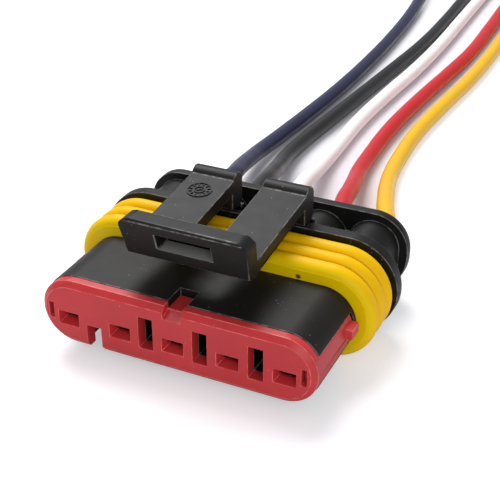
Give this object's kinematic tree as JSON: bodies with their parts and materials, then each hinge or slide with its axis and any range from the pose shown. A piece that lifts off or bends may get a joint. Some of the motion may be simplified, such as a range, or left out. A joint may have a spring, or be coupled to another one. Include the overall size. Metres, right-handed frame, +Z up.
{
  "type": "sealed wire connector",
  "caption": "Sealed in-line plug connector with a rounded nose, front lock plate, ribbed interface seal, sprung latch and insulated leads.",
  "frame": {"origin": "middle of the resting base, on the surface the connector lies on, leads left out", "axes": "+Z up out of the latch side, -Y out of the mating face, +Y the way the leads leave, X along the row of contacts"},
  "size_m": [0.0348, 0.164, 0.0164],
  "materials": {
    "black_moulding": "fine satin moulding, faint shine on worn edges",
    "red_moulding": "satin moulding",
    "yellow_rubber": "soft silicone rubber with a slight sheen",
    "tinned_contact": "tin-plated copper alloy",
    "bare_copper": "bare stranded copper",
    "navy_insulation": "smooth soft insulation",
    "black_insulation": "smooth soft insulation",
    "white_insulation": "smooth soft insulation",
    "red_insulation": "smooth soft insulation",
    "amber_insulation": "smooth soft insulation"
  },
  "bodies": {
    "housing": {"housing": "black_moulding", "interface_seal": "yellow_rubber", "contact_1": "tinned_contact", "contact_2": "tinned_contact", "contact_3": "tinned_contact", "contact_4": "tinned_contact", "contact_5": "tinned_contact", "wire_seal_1": "yellow_rubber", "wire_seal_2": "yellow_rubber", "wire_seal_3": "yellow_rubber", "wire_seal_4": "yellow_rubber", "wire_seal_5": "yellow_rubber", "wire_1": "navy_insulation", "wire_2": "black_insulation", "wire_3": "white_insulation", "wire_4": "red_insulation", "wire_5": "amber_insulation", "strand_1": "bare_copper", "strand_2": "bare_copper", "strand_3": "bare_copper", "strand_4": "bare_copper", "strand_5": "bare_copper"},
    "latch": {"latch": "black_moulding"},
    "lock_plate": {"lock_plate": "red_moulding"}
  },
  "joints": [
    {"name": "latch_lift", "type": "hinge", "parent": "housing", "child": "latch", "pos_m": [0, 0.00553, 0.01103], "axis": [-1, 0, 0], "range_deg": [0, 9], "stiffness_Nm_per_rad": 0.01},
    {"name": "lock_plate_slide", "type": "slide", "parent": "housing", "child": "lock_plate", "axis": [0, -1, 0], "range_m": [0, 0.002]}
  ]
}
